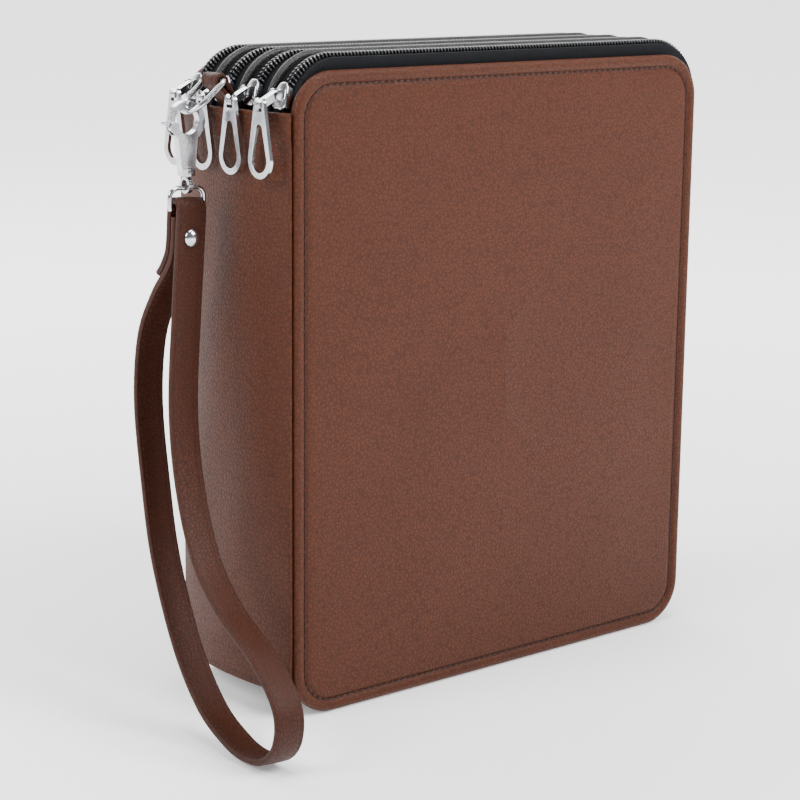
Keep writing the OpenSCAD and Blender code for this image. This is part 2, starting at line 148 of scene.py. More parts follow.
def piece(name, shells, finish, laid=None, sharp=40):
    """A mesh made of closed shells, each (points, faces), with its faces outward."""
    points, faces, start = [], [], 0
    for shell_points, shell_faces in shells:
        three = [np.asarray(f)[:, [0, k, k + 1]] for f in shell_faces for k in range(1, np.asarray(f).shape[1] - 1)]
        three = shell_points[np.concatenate(three)]
        volume = np.einsum("ij,ij->i", three[:, 0], np.cross(three[:, 1], three[:, 2])).sum()
        for block in shell_faces:
            block = np.asarray(block) + start
            faces += (block[:, ::-1] if volume < 0 else block).tolist()
        points.append(shell_points)
        start += len(shell_points)
    mesh = bpy.data.meshes.new(name)
    mesh.from_pydata(np.concatenate(points).tolist(), [], faces)
    mesh.polygons.foreach_set("use_smooth", np.ones(len(mesh.polygons), bool))
    mesh.set_sharp_from_angle(angle=math.radians(sharp))
    if laid is not None:
        mesh.attributes.new("laid", "FLOAT_VECTOR", "POINT").data.foreach_set("vector",
            np.concatenate(laid).astype(np.float32).ravel())
    mesh.materials.append(finish.material)
    made = bpy.data.objects.new(name, mesh)
    bpy.context.scene.collection.objects.link(made)
    return made


def dress(name, shells, finish, slot, body=None, bend=None, nodes=(), laid=None):
    """Makes a piece and lets it ride on its body; a piece given a bend is fixed where it was made, on no body."""
    made = piece(name, shells, finish, laid=laid)
    if bend:
        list(bend[0])
        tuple(bend[1])
        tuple(bend[2])
        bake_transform(made)
    else:
        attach(made, body)
    if nodes:
        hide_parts(*nodes)
    return made


def net(index):
    """Four-sided faces between neighbours on a grid of point numbers."""
    return np.stack([index[:-1, :-1], index[1:, :-1], index[1:, 1:], index[:-1, 1:]], -1).reshape(-1, 4)


def tube(rings, closed=False):
    """A shell through rings of points, rings by points: each ring is joined round to itself and to the next, and the
    ends are closed by a fan to their middle, or closed joins the last ring to the first."""
    rows, cols = rings.shape[:2]
    index = np.arange(rows * cols).reshape(rows, cols)
    index = np.concatenate([index, index[:, :1]], 1)
    if closed:
        return rings.reshape(-1, 3), [net(np.concatenate([index, index[:1]]))]
    points = np.concatenate([rings.reshape(-1, 3), rings[[0, -1]].mean(1)])
    near, far = index[0], index[-1]
    fans = np.concatenate([
        np.stack([np.full(cols, rows * cols), near[:-1], near[1:]], -1),
        np.stack([np.full(cols, rows * cols + 1), far[1:], far[:-1]], -1),
    ])
    return points, [net(index), fans]


def sewn(outside, inside):
    """A shell of two sheets, each a grid of points, that meet at their border."""
    rows, cols = outside.shape[:2]
    front = np.arange(rows * cols).reshape(rows, cols)
    back = front.copy()
    back[1:-1, 1:-1] = rows * cols + np.arange((rows - 2) * (cols - 2)).reshape(rows - 2, cols - 2)
    points = np.concatenate([outside.reshape(-1, 3), inside[1:-1, 1:-1].reshape(-1, 3)])
    return points, [net(front), net(back)[:, ::-1]]


def edged(a, b, count, edge):
    """Places from a to b, crowded within edge of both ends, and at each the share of full thickness that a round edge
    of that radius leaves."""
    round_off = edge * (1 - np.cos(np.linspace(0, np.pi / 2, 6)))
    middle = np.linspace(edge, abs(b - a) - edge, count)[1:-1]
    way = np.concatenate([round_off, middle, abs(b - a) - round_off[::-1]])
    near = np.minimum(way, abs(b - a) - way)
    share = np.sqrt(np.clip(1 - (1 - np.clip(near / edge, 0, 1)) ** 2, 0, 1))
    return a + np.sign(b - a) * way, share


table = Finish("pale_table", Base_Color=(0.95, 0.95, 0.95, 1), Specular_IOR_Level=0.1, Emission_Strength=1.0)
# The table top glows with painted light: faint grey within 16 cm of the case, rising to bright white about 0.8 m away,
# so the far table and wall render white.
out_way = table.node("ShaderNodeVectorMath", {"operation": "LENGTH"}, {0: table.place()}, "Value")
glow_far_off = ((out_way - 0.16) * 1.5).held()
table.give(Emission_Color=table.mixed(glow_far_off, (0.25, 0.25, 0.25, 1), (1.5, 1.5, 1.5, 1)))
table.give(Roughness=table.noise(table.place(), 3.0) * 0.1 + 0.55)
floor_near, floor_far, floor_half, sweep_r, wall_top = -14, 2.2, 12, 1.5, 4.0
sweep_turn = np.linspace(0.1, np.pi / 2, 12)
sweep_up = np.concatenate([
    np.stack([np.linspace(floor_near, floor_far, 12), np.zeros(12)], -1),
    np.stack([floor_far + sweep_r * np.sin(sweep_turn), sweep_r - sweep_r * np.cos(sweep_turn)], -1),
    np.array([[floor_far + sweep_r, wall_top]]),
])
heading = math.radians(-39.49)
ahead = np.array([-math.sin(heading), math.cos(heading), 0])
across = np.array([ahead[1], -ahead[0], 0])
side_way = np.linspace(-floor_half, floor_half, 12)
ground = (sweep_up[:, None, :1] * ahead + side_way[None, :, None] * across
          + sweep_up[:, None, 1:] * np.array([0, 0, 1]) - np.array([0, 0, 0.0002]))
backdrop = piece("table_top", [(ground.reshape(-1, 3), [net(np.arange(ground.shape[0] * 12).reshape(-1, 12))])], table)


def lamp(name, bearing, height, away, size, watts):
    """A square soft lamp turned to the case."""
    light = bpy.data.lights.new(name, "AREA")
    light.shape, light.size, light.energy = "SQUARE", size, watts
    made = bpy.data.objects.new(name, light)
    a, e = math.radians(bearing), math.radians(height)
    aim = Vector((-0.02, 0, 0.12))
    made.location = aim + away * Vector((math.sin(a) * math.cos(e), -math.cos(a) * math.cos(e), math.sin(e)))
    made.rotation_euler = (aim - made.location).to_track_quat("-Z", "Y").to_euler()
    bpy.context.scene.collection.objects.link(made)


lamp("key_lamp", 24, 42, 1.5, 0.7, 30)
lamp("spine_lamp", -96, 34, 1.4, 0.6, 17)
lamp("top_lamp", -20, 84, 1.5, 0.8, 20)
lamp("back_lamp", 170, 40, 1.6, 0.9, 12)

world = bpy.data.worlds.new("white_room")
world.use_nodes = True
world.node_tree.nodes["Background"].inputs["Color"].default_value = (1, 1, 1, 1)
world.node_tree.nodes["Background"].inputs["Strength"].default_value = 0.25
bpy.context.scene.world = world

aim = Vector((-0.0235, 0, 0.1038))
tilt, stand_off = math.radians(12.53), 0.8515
back = Vector((math.sin(heading) * math.cos(tilt), -math.cos(heading) * math.cos(tilt), math.sin(tilt)))
camera = bpy.data.objects.new("camera", bpy.data.cameras.new("camera"))
camera.data.lens = 98.6
camera.data.sensor_width = 36
camera.data.clip_start, camera.data.clip_end = 0.01, 50
camera.location = aim + back * stand_off
camera.rotation_mode = "QUATERNION"
camera.rotation_quaternion = (-back).to_track_quat("-Z", "Y") @ Quaternion((0, 0, 1), math.radians(0.555))
bpy.context.scene.collection.objects.link(camera)
bpy.context.scene.camera = camera

# ---- Front and back covers ----
# Each cover is a stiff board wrapped in pebbled leather-cloth, its edge turned over and
# held by one running stitch; the lining is glued to the inside over the turned-in edge.
case_w, case_h, half_d, cover_t, corner_r = 0.2, 0.235, 0.035, 4.2 * MM, 17 * MM


def leather(name, pale, hollow_shade, laid=False, pebble=640.0, depth=0.16):
    """Pebbled leather-cloth: small cells with painted shade darkening the hollows between them, fine creases and a soft
    cloudy tone.
    """
    made = Finish(name, Specular_IOR_Level=0.2)
    where = made.laid() if laid else made.place()
    warp = made.noise(where, 260.0, 2.0, "Color")
    bent = made.node("ShaderNodeVectorMath", {"operation": "ADD"},
                     {0: where, 1: made.stretched(warp, (0.0014, 0.0014, 0.0014))})
    cell = made.node("ShaderNodeTexVoronoi", {"feature": "DISTANCE_TO_EDGE"}, {"Vector": bent, "Scale": pebble})
    small = made.node("ShaderNodeTexVoronoi", {"feature": "DISTANCE_TO_EDGE"}, {"Vector": bent, "Scale": pebble * 2.3})
    hill = (cell * 4.5).held()
    knob = (small * 4.0).held()
    crease = made.noise(made.stretched(where, (70.0, 70.0, 160.0)), 1.0, 3.0)
    cloud = made.noise(where, 17.0, 4.0)
    broad = made.noise(where, 60.0, 3.0)
    height = hill * 0.55 + knob * 0.2 + crease * 0.5 + broad * 0.4
    # Painted shade in the hollows: this share is 0.2 between the pebbles and rises to 1 on their tops, blending the
    # dark second colour into the leather's tone.
    hollow_shade_mix = ((hill * 0.65 + knob * 0.35) * 0.8 + 0.2)
    tone = ((cloud - 0.3) * 1.6).held()
    body = made.mixed(tone, pale, tuple(c * 0.84 for c in pale[:3]) + (1,))
    made.give(
        Base_Color=made.mixed(hollow_shade_mix, hollow_shade, body),
        Roughness=0.6 - hollow_shade_mix * 0.13 + (cloud - 0.5) * 0.12,
    )
    made.bumped(height, depth * MM, 0.85)
    return made


# The second colour is painted shade for the hollows between the cover leather's pebbles.
cover_leather = leather("cover_leather", (0.078, 0.0180, 0.0042, 1), (0.020, 0.0038, 0.0009, 1))
thread = Finish("dark_thread", Specular_IOR_Level=0.3, Sheen_Weight=0.2)
thread.give(Base_Color=thread.mixed(thread.noise(thread.place(), 1500.0), (0.022, 0.0045, 0.0028, 1),
                                    (0.009, 0.0022, 0.0015, 1)),
            Roughness=thread.noise(thread.place(), 900.0) * 0.2 + 0.55)
thread.bumped(thread.noise(thread.stretched(thread.place(), (1.0, 1.0, 0.4)), 2600.0), 0.06 * MM)


def rounded_ring(x0, x1, z0, z1, r, straight=44, bend=12):
    """Points round an upright rectangle with round corners, anticlockwise seen from the front: the same number on each
    side and in each corner, whatever its size."""
    parts = []
    turn = np.linspace(0, np.pi / 2, bend + 1)
    corners = [(x1 - r, z1 - r, 0), (x0 + r, z1 - r, 1), (x0 + r, z0 + r, 2), (x1 - r, z0 + r, 3)]
    for k, (x, z, quarter) in enumerate(corners):
        a = turn + quarter * np.pi / 2
        bent = np.stack([x + r * np.cos(a), z + r * np.sin(a)], -1)
        nx, nz, following = corners[(k + 1) % 4]
        b = following * np.pi / 2
        leave, arrive = bent[-1], np.array([nx + r * math.cos(b), nz + r * math.sin(b)])
        run = np.linspace(0, 1, straight + 1)[1:-1, None]
        parts += [bent, leave + (arrive - leave) * run]
    return np.concatenate(parts)


def board_shell(x0, x1, z0, z1, r, profile, lift=None):
    """A slab whose section runs along profile, pairs of (inset from the outline, depth y): one ring of the outline for
    each pair, its corners drawn in with the inset."""
    rings = []
    for inset, y in profile:
        width = x1 - x0 - 2 * inset
        ring = rounded_ring(x0 + inset, x1 - inset, z0 + inset, z1 - inset, min(max(r - inset, 1.5 * MM), 0.45 * width))
        depth = np.full(len(ring), y)
        rings.append(np.stack([ring[:, 0], depth, ring[:, 1]], -1))
    rings = np.array(rings)
    if lift is not None:
        rings[..., 1] += lift(rings[..., 0], rings[..., 2], np.array(profile)[:, None, 0])
    return tube(rings)


def stitches(line, out, pitch, length, thick, around=False):
    """Thread shells along a line of points: short capsules, sunk at both ends, laid end to end with out pointing away
    from the leather."""
    if around:
        line, out = np.concatenate([line, line[:1]]), np.concatenate([out, out[:1]])
    steps = np.linalg.norm(np.diff(line, axis=0), axis=1)
    along = np.concatenate([[0], np.cumsum(steps)])
    count = max(2, round(along[-1] / pitch))
    centre = (np.arange(count) + 0.5) * along[-1] / count
    half = length / 2
    share = np.concatenate([[-0.96], np.linspace(-1, 1, 6)[1:-1], [0.96]])
    turn = np.linspace(0, 2 * np.pi, 7)[:-1]
    at = lambda s, what: np.stack([np.interp(s, along, what[:, k]) for k in range(3)], -1)
    middle = at(centre, line)
    way = at(centre + half, line) - at(centre - half, line)
    way /= np.linalg.norm(way, axis=1, keepdims=True)
    up = at(centre, out)
    up /= np.linalg.norm(up, axis=1, keepdims=True)
    side = np.cross(way, up)
    fat = thick / 2 * np.sqrt(1 - share ** 2)
    sunk = -0.35 * thick * share ** 4
    ring = (middle[:, None, None] + way[:, None, None] * (share * half)[None, :, None, None]
            + side[:, None, None] * (fat[:, None] * np.cos(turn))[None, :, :, None]
            + up[:, None, None] * (fat[:, None] * np.sin(turn) + sunk[:, None])[None, :, :, None])
    return [tube(one) for one in ring]


def gently_padded(x, z, inset):
    """How far in the face lies: it stands a little proud in the middle and is never quite flat."""
    way_in = np.clip((inset - 6 * MM) / (30 * MM), 0, 1)
    ripple = np.sin(x * 61 + z * 23) * np.sin(z * 47 - x * 19) * 0.12 + np.sin(x * 140 + 1) * np.sin(z * 122) * 0.05
    return way_in * (-0.2 + ripple) * MM


def cover(side, body, name):
    """One cover: side is -1 in front and 1 behind, and depths are measured in from the outer face."""
    def at(depth):
        return side * (half_d - depth * MM)

    outer = [(inset, 0.45) for inset in (99.4, 80, 60, 45, 34, 26, 20, 15, 11)]
    outer += [(8.5, 0.46), (7, 0.5), (6.1, 0.62), (5.5, 0.86), (5.1, 1.14), (4.8, 1.24), (4.5, 1.14), (4.1, 0.72),
              (3.6, 0.34), (2.9, 0.12), (2.2, 0.04), (1.6, 0.1),
             (1.1, 0.28), (0.65, 0.58), (0.3, 0.98), (0.08, 1.5), (0, 2.1), (0, 2.6), (0.06, 3.1), (0.25, 3.55),
             (0.6, 3.9), (1.1, 4.1), (1.8, 4.16)]
    inner = [(5, 4.16), (9, 4.16), (12.5, 4.14), (13.2, 4.0), (13.6, 3.8), (20, 3.75), (50, 3.75), (99.4, 3.75)]
    profile = [(i * MM, at(t)) for i, t in outer + inner]
    first_inner = len(outer) - 6
    lift = lambda x, z, inset: -side * np.where(np.arange(len(profile))[:, None] < first_inner,
                                                gently_padded(x, z, inset), 0)
    dress(name + "_skin", [board_shell(-case_w / 2, case_w / 2, 0, case_h, corner_r, profile, lift)],
          cover_leather, "cover_leather", body=body, nodes=(name + "_leather", name + "_board"))

    seam_in = 4.8 * MM
    seam_ring = rounded_ring(-case_w / 2 + seam_in, case_w / 2 - seam_in, seam_in, case_h - seam_in, corner_r - seam_in)
    line = np.stack([seam_ring[:, 0], np.full(len(seam_ring), at(0.92)), seam_ring[:, 1]], -1)
    out = np.tile([0.0, side, 0.0], (len(line), 1))
    dress(name + "_running_stitch", stitches(line, out, 2.9 * MM, 2.25 * MM, 0.62 * MM, around=True), thread,
          "thread", body=body, nodes=(name + "_stitching",))

    pad = [(99.4, 3.6), (60, 3.6), (14, 3.6), (8.5, 3.7), (8.0, 3.9), (8.1, 4.1), (8.6, 4.2), (10, 4.22), (13, 4.16),
           (15, 4.1), (60, 4.1), (99.4, 4.1)]
    profile = [(i * MM, at(t)) for i, t in pad]
    dress(name + "_lining_cloth", [board_shell(-case_w / 2, case_w / 2, 0, case_h, corner_r, profile)],
          lining_cloth, "lining", body=body, nodes=(name + "_lining",))


def woven(name, dark, light, pitch=0.55):
    """Close plain-woven cloth: two crossed sets of ribs, one over the other by turns."""
    made = Finish(name, Specular_IOR_Level=0.15, Sheen_Weight=0.03, Sheen_Roughness=0.5)
    across_way, _, up_way = made.parts(made.place())
    warp = (across_way / (pitch * MM)).wave()
    weft = (up_way / (pitch * MM)).wave()
    turn = warp * weft + (1 - warp) * (1 - weft)
    fuzz = made.noise(made.place(), 500.0, 3.0)
    made.give(Base_Color=made.mixed((turn * 0.7 + fuzz * 0.3).held(), dark, light),
              Roughness=0.75 + (fuzz - 0.5) * 0.2)
    made.bumped(turn + fuzz * 0.4, 0.05 * MM)
    return made


lining_cloth = woven("lining_cloth", (0.003, 0.003, 0.004, 1), (0.011, 0.0115, 0.014, 1))
cover(-1, "front_cover", "front_cover")
cover(1, "back_cover", "back_cover")

# ---- Spine ----
# One soft sheet of the same leather round the folded edges of the leaves. Its top and bottom
# edges are hemmed with two rows of stitches.
spine_t, spine_bulge, hem_low, hem_high = 1.8 * MM, 4.5 * MM, 0.010, 0.221
spine_reach = half_d - 1 * MM
spine_r = (spine_reach ** 2 + spine_bulge ** 2) / (2 * spine_bulge)
spine_crest = -case_w / 2 - spine_t - spine_bulge
hem_rows = (2.2, 10.8)
# The second colour is painted shade for the hollows between the spine leather's pebbles.
spine_leather = leather("spine_leather", (0.070, 0.0158, 0.0037, 1), (0.018, 0.0034, 0.0008, 1), laid=True,
                        pebble=600.0, depth=0.2)


def spine_point(y, z, out):
    """The spine's outer face: an arc in plan, thicker within a hem's width of both edges, slightly hollowed and
    rippled, moved out along the arc's own direction."""
    angle = np.arcsin(y / spine_r)
    near = np.minimum(z - hem_low, hem_high - z)
    fold = 0.42 * MM / (1 + np.exp((near - 12.2 * MM) / (0.35 * MM)))
    groove = sum(np.exp(-((near - row * MM) / (0.55 * MM)) ** 2) for row in hem_rows) * 0.28 * MM
    soft = (0.35 * MM * np.sin(z * 52 + y * 60) * np.sin(y * 110 + 1.2)
            * np.clip(near / 0.02, 0, 1) * np.cos(y / spine_reach * np.pi / 2))
    r = spine_r + out + (fold - groove + soft)
    return np.stack([spine_crest + spine_r - r * np.cos(angle), r * np.sin(angle), z], -1)


def spine_half(name, y0, y1, bodies, start, end, nodes):
    """Half of the spine's sheet, from y0 to y1."""
    z, z_share = edged(hem_low, hem_high, 130, 0.9 * MM)
    if y0 == 0:
        y = np.concatenate([np.linspace(0, y1 - 0.8 * MM, 34)[:-1], edged(0, y1, 3, 0.8 * MM)[0][-6:]])
    else:
        y = np.concatenate([edged(y0, 0, 3, 0.8 * MM)[0][:6], np.linspace(y0 + 0.8 * MM, 0, 34)[1:]])
    edge = np.clip((spine_reach - abs(y)) / (0.8 * MM), 0, 1)
    y_share = np.sqrt(1 - (1 - edge) ** 2)
    zz, yy = np.meshgrid(z, y, indexing="ij")
    half = spine_t / 2 * np.minimum(z_share[:, None], y_share[None])
    outside = spine_point(yy, zz, half - spine_t / 2)
    inside = spine_point(yy, zz, -half - spine_t / 2)
    flat = np.stack([yy, zz, np.zeros_like(yy)], -1)
    sheet = sewn(outside, inside)
    laid = [np.concatenate([flat.reshape(-1, 3), flat[1:-1, 1:-1].reshape(-1, 3)])]
    dress(name, [sheet], spine_leather, "cover_leather", bend=(bodies, start, end), nodes=nodes, laid=laid)
    rows = []
    for row in [hem_low + r * MM for r in hem_rows] + [hem_high - r * MM for r in hem_rows[::-1]]:
        along = np.linspace(y0 + 1.2 * MM if y0 else 0.4 * MM, y1 - 1.2 * MM if y1 else -0.4 * MM, 60)
        line = spine_point(along, np.full(60, row), 0.05 * MM)
        out = np.stack([-np.cos(np.arcsin(along / spine_r)), along / spine_r, np.zeros(60)], -1)
        rows += stitches(line, out, 2.9 * MM, 2.2 * MM, 0.5 * MM)
    dress(name + "_hem_stitches", rows, thread, "thread", bend=(bodies, start, end))


fold_x, bend_from, bend_to = -106.01 * MM, 9 * MM, 17 * MM
spine_half("spine_sheet_front", -spine_reach, 0, ("leaf_2", "leaf_1"),
           (fold_x, -bend_from, 0.1), (fold_x, -bend_to, 0.1), ("spine_front", "spine_middle"))
spine_half("spine_sheet_back", 0, spine_reach, ("leaf_2", "leaf_3"),
           (fold_x, bend_from, 0.1), (fold_x, bend_to, 0.1), ("spine_back",))

# ---- Zip tapes, coils and piping ----
# Four nylon coil zips run round the bottom, opening edge and top. Each half is a woven tape with
# a coil sewn along it; the leaves' edges between two zips are bound with black piping.
zip_pitch = 17.5 * MM
zip_y = np.array([-26.25, -8.75, 8.75, 26.25]) * MM
leaf_y = np.array([-17.5, 0, 17.5]) * MM
path_x0, path_x1, path_z0, path_z1, path_r = -98.5 * MM, 103 * MM, 1.8 * MM, 239.5 * MM, 20 * MM
path_open_low, path_open_high = 16 * MM, 215 * MM


def zip_route():
    """The zips' closed line seen from the front, from low on the spine side, along the bottom, up the opening edge,
    back along the top and down the spine side: points, outward directions and distance travelled. It is straight
    between four quarter turns."""
    low = math.asin((path_z0 + path_r - path_open_low) / path_r)
    quarters = [
        (path_x0 + path_r, path_z0 + path_r, math.pi + low, 1.5 * math.pi),
        (path_x1 - path_r, path_z0 + path_r, 1.5 * math.pi, 2 * math.pi),
        (path_x1 - path_r, path_z1 - path_r, 2 * math.pi, 2.5 * math.pi),
        (path_x0 + path_r, path_z1 - path_r, 2.5 * math.pi, 3 * math.pi),
    ]
    points, outward = [], []
    for x, z, a, b in quarters:
        turn = np.linspace(a, b, 400)
        way = np.stack([np.cos(turn), np.zeros(400), np.sin(turn)], -1)
        points.append(np.array([x, 0, z]) + path_r * way)
        outward.append(way)
    points.append(np.array([[path_x0, 0, path_open_high]]))
    outward.append(np.array([[-1.0, 0, 0]]))
    points, outward = np.concatenate(points), np.concatenate(outward)
    return points, outward, np.concatenate([[0], np.cumsum(np.linalg.norm(np.diff(points, axis=0), axis=1))])


route, route_out, route_far = zip_route()
zip_end = route_far[-1]
bend_at = zip_end - (path_z1 - path_r - path_open_high) - path_r * math.radians(40)


def on_route(s):
    """Points and outward directions at distances s along the zips' line."""
    pick = lambda what: np.stack([np.interp(s, route_far, what[:, k]) for k in range(3)], -1)
    out = pick(route_out)
    return pick(route), out / np.linalg.norm(out, axis=-1, keepdims=True)


def band(section, s0, s1, step=2.0 * MM):
    """A shell whose section, a closed loop of (depth y, height out from the line), runs along the zips' line from s0 to
    s1, and where each of its points lies on the flat band."""
    s = np.linspace(s0, s1, max(3, round((s1 - s0) / step)))
    middle, out = on_route(s)
    section = np.asarray(section)
    rings = middle[:, None] + out[:, None] * section[None, :, 1:]
    rings[..., 1] += section[None, :, 0]
    flat = np.stack(np.broadcast_arrays(s[:, None], section[None, :, 0], section[None, :, 1]), -1).reshape(-1, 3)
    flat = np.concatenate([flat, [[s0, section[0, 0], 0], [s1, section[0, 0], 0]]])
    return tube(rings), flat


def tape_section(edge, middle):
    """Half a zip's tape, 0.7 mm thick, from the piping at edge to the coil at middle: it arches a little beside the
    coil."""
    way = middle - edge
    share = np.array([-0.08, 0.06, 0.2, 0.36, 0.52, 0.7, 0.86, 0.97])
    arch = np.array([-0.95, -0.62, -0.4, -0.28, -0.26, -0.34, -0.36, -0.42]) * MM
    top = np.stack([edge + way * share, arch], -1)
    return np.concatenate([top, [[edge + way * 0.985, -0.75 * MM]], (top - [0, 0.66 * MM])[::-1],
                           [[edge - way * 0.1, -1.3 * MM]]])


def cover_tape_section(side, middle):
    """The tape beside a cover: its sewn flange lies against the lining, and it turns out beyond the cover's edge to the
    coil."""
    wall = side * (half_d - cover_t - 0.08 * MM)
    step = -side * 0.6 * MM
    bend = wall + step
    return np.array([
        [wall, -12 * MM], [wall, -6 * MM], [wall, -2.2 * MM], [wall, -1.0 * MM], [wall + 0.3 * step, -0.5 * MM],
        [wall + step, -0.3 * MM],
        [bend + (middle - bend) * 0.3, -0.24 * MM], [bend + (middle - bend) * 0.6, -0.3 * MM],
        [bend + (middle - bend) * 0.9, -0.38 * MM],
        [bend + (middle - bend) * 0.96, -0.72 * MM], [bend + (middle - bend) * 0.9, -1.04 * MM],
        [bend + (middle - bend) * 0.45, -1.02 * MM],
        [bend + (middle - bend) * 0.12, -1.3 * MM], [bend, -2.2 * MM], [bend, -6 * MM], [bend, -11.9 * MM],
    ])


zip_tape = Finish("zip_tape", Specular_IOR_Level=0.1)
run, over, _ = zip_tape.parts(zip_tape.laid())
rib = (over / (0.62 * MM)).wave()
slant = (run / (0.9 * MM) + over / (0.75 * MM)).wave()
weave = rib * 0.55 + slant * 0.45
zip_tape.give(Base_Color=zip_tape.mixed(weave, (0.0015, 0.0016, 0.002, 1), (0.009, 0.0095, 0.012, 1)),
              Roughness=zip_tape.noise(zip_tape.laid(), 400.0) * 0.2 + 0.58)
zip_tape.bumped(weave, 0.09 * MM)

coil = Finish("zip_coil", Specular_IOR_Level=0.55)
coil.give(Base_Color=coil.mixed(coil.noise(coil.place(), 240.0), (0.005, 0.005, 0.006, 1), (0.012, 0.012, 0.014, 1)),
          Roughness=coil.noise(coil.place(), 700.0) * 0.14 + 0.22)

piping = Finish("piping", Specular_IOR_Level=0.45)
run, over, high = piping.parts(piping.laid())
# The grain's cells are darker towards their edges: painted shade in the hollows between them, over the piping's own
# black.
grain_and_hollow_shade = piping.node("ShaderNodeTexVoronoi", {"feature": "DISTANCE_TO_EDGE"}, {"Vector": piping.laid(), "Scale": 900.0})
grain_and_hollow_shade = (grain_and_hollow_shade * 4.0).held()
piping.give(Base_Color=piping.mixed(grain_and_hollow_shade, (0.002, 0.002, 0.0024, 1), (0.007, 0.007, 0.008, 1)),
            Roughness=0.52 - grain_and_hollow_shade * 0.12)
piping.bumped(grain_and_hollow_shade + piping.noise(piping.laid(), 120.0) * 1.5, 0.08 * MM)

tooth_pitch = 1.55 * MM


def coil_teeth(middle, side, s0, s1, late=0.0):
    """One row of the coil: each turn is a slanting bar, thin where it is sewn down and swollen at its head, which meets
    the other row's heads."""
    count = int((s1 - s0) / tooth_pitch)
    s = s0 + (np.arange(count) + 0.5) * (s1 - s0) / count + late * tooth_pitch
    s = s[(s > 0.5 * MM) & (s < zip_end - 0.5 * MM)]
    point, out = on_route(s)
    way = np.cross(out, [0, 1.0, 0])
    reach = np.array([2.72, 2.5, 1.9, 1.2, 0.45, 0.02, -0.16]) * MM
    fat = np.array([0.12, 0.40, 0.50, 0.52, 0.62, 0.52, 0.2]) * MM
    tall = np.array([0.2, 0.62, 0.8, 0.82, 0.86, 0.72, 0.3]) * MM
    lean = (reach - 1.4 * MM) * 0.42
    high = np.array([0.05, 0.32, 0.52, 0.6, 0.6, 0.58, 0.5]) * MM
    turn = np.linspace(0, 2 * np.pi, 7)[:-1]
    local_s = lean[:, None] + fat[:, None] * np.cos(turn)
    local_r = high[:, None] + tall[:, None] * np.sin(turn)
    rings = (point[:, None, None] + way[:, None, None] * local_s[None, :, :, None] + out[:, None, None]
             * local_r[None, :, :, None])
    rings[..., 1] += middle + side * reach[None, :, None]
    return [tube(one) for one in rings]


def flat_band(name, section, s0, s1, finish, slot, **rest):
    """A band along the zips' line made a piece, with its flat place kept for the cloth's pattern."""
    shell, flat = band(section, s0, s1)
    return dress(name, [shell], finish, slot, laid=[flat], **rest)


folds = [("front_cover", "leaf_1"), ("leaf_1", "leaf_2"), ("leaf_3", "leaf_2"), ("back_cover", "leaf_3")]
leaf_names = ["leaf_1", "leaf_2", "leaf_3"]
bend_top, bend_foot = on_route(bend_at)[0], on_route(zip_end)[0]
piping_w = 2.8 * MM

for n, middle in enumerate(zip_y):
    side = -1 if n < 2 else 1
    moving, still = folds[n]
    number = n + 1
    if n in (0, 3):
        section = cover_tape_section(side, middle)
        node_names = ("front_zip_tape", "front_zip_teeth") if n == 0 else ("back_zip_tape", "back_zip_teeth")
    else:
        section = tape_section(leaf_y[0 if n == 1 else 2] - side * piping_w / 2, middle)
        node_names = None
    start, end = bend_top.copy(), bend_foot.copy()
    start[1] = end[1] = middle
    bending = ((moving, still), tuple(start), tuple(end))
    tape_nodes, teeth_nodes = ((node_names[0],), (node_names[1],)) if node_names else ((), ())
    flat_band(f"zip_{number}_moving_tape", section, 0, bend_at, zip_tape, "zip_tape", body=moving, nodes=tape_nodes)
    if n in (0, 3):
        section = tape_section(middle + side * 4.0 * MM, middle)
    flat_band(f"zip_{number}_bending_tape", section, bend_at, zip_end, zip_tape, "zip_tape", bend=bending,
              nodes=(f"corner_{number}",))
    dress(f"zip_{number}_moving_coil", coil_teeth(middle, side, 0, bend_at), coil, "zip_coil", body=moving,
          nodes=teeth_nodes)
    dress(f"zip_{number}_bending_coil", coil_teeth(middle, side, bend_at, zip_end), coil, "zip_coil", bend=bending)
    still_leaf = leaf_names.index(still)
    section = tape_section(leaf_y[still_leaf] + side * piping_w / 2, middle)
    flat_band(f"zip_{number}_leaf_tape", section, 0, zip_end, zip_tape, "zip_tape", body=still)
    dress(f"zip_{number}_leaf_coil", coil_teeth(middle, -side, 0, zip_end, late=0.5), coil, "zip_coil", body=still)

bead_turn = np.linspace(np.radians(-14), np.radians(194), 15)
bead = np.stack([piping_w / 2 * np.cos(bead_turn), 0.42 * MM + 1.38 * MM * np.sin(bead_turn)], -1)
bead = np.concatenate([[[1.3 * MM, -1.2 * MM]], bead, [[-1.3 * MM, -1.2 * MM]]])

# ---- Leaves ----
# Three thin boards covered in black cloth, with an elastic strip sewn across each in short
# loops; a cloth tongue joins each leaf to the spine.
leaf_t = 2.4 * MM
leaf_cloth = woven("leaf_cloth", (0.003, 0.0032, 0.004, 1), (0.012, 0.0125, 0.015, 1), pitch=0.5)
elastic = Finish("elastic", Specular_IOR_Level=0.15)
run, over, _ = elastic.parts(elastic.laid())
cord_rib = (over / (1.1 * MM)).wave()
crossing = (run / (0.45 * MM)).wave()
elastic.give(Base_Color=elastic.mixed(cord_rib * 0.7 + crossing * 0.3, (0.002, 0.002, 0.0025, 1),
                                      (0.012, 0.012, 0.014, 1)),
             Roughness=elastic.noise(elastic.laid(), 300.0) * 0.15 + 0.7)
elastic.bumped(cord_rib * 0.8 + crossing * 0.2, 0.12 * MM)
tongue_top, tongue_low = 208 * MM, 16.5 * MM

